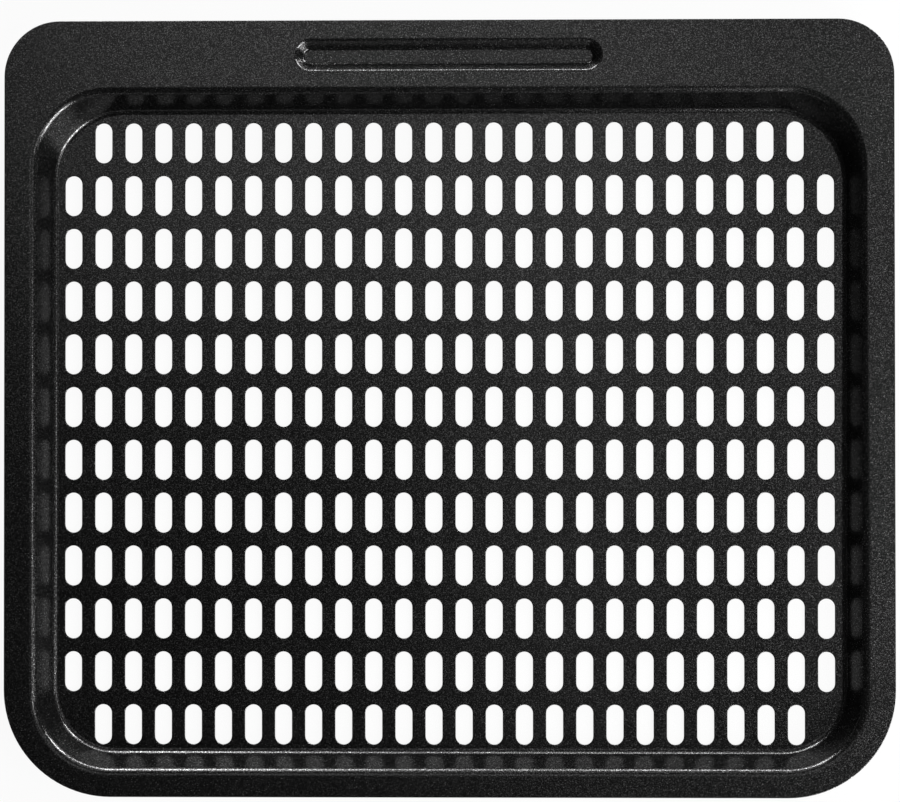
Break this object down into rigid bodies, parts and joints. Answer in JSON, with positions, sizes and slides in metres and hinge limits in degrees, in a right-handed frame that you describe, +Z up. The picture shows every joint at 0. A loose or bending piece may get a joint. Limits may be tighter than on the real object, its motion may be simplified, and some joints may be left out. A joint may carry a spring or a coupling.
{
  "type": "air fryer baking tray",
  "caption": "Shallow rectangular tray pressed from one dark non-stick sheet, with a slotted flat floor, sloped walls, a flat flange all round and a pressed finger grip in the wide back flange.",
  "frame": {"origin": "under the middle of the whole tray, in the plane of the floor's underside", "axes": "+X along the long side, +Y towards the wide flange with the finger grip, +Z up out of the well"},
  "size_m": [0.2662, 0.2322, 0.0108],
  "materials": {
    "nonstick_steel": "satin black non-stick coat with a fine grain"
  },
  "bodies": {
    "root": {"tray": "nonstick_steel"}
  },
  "joints": []
}
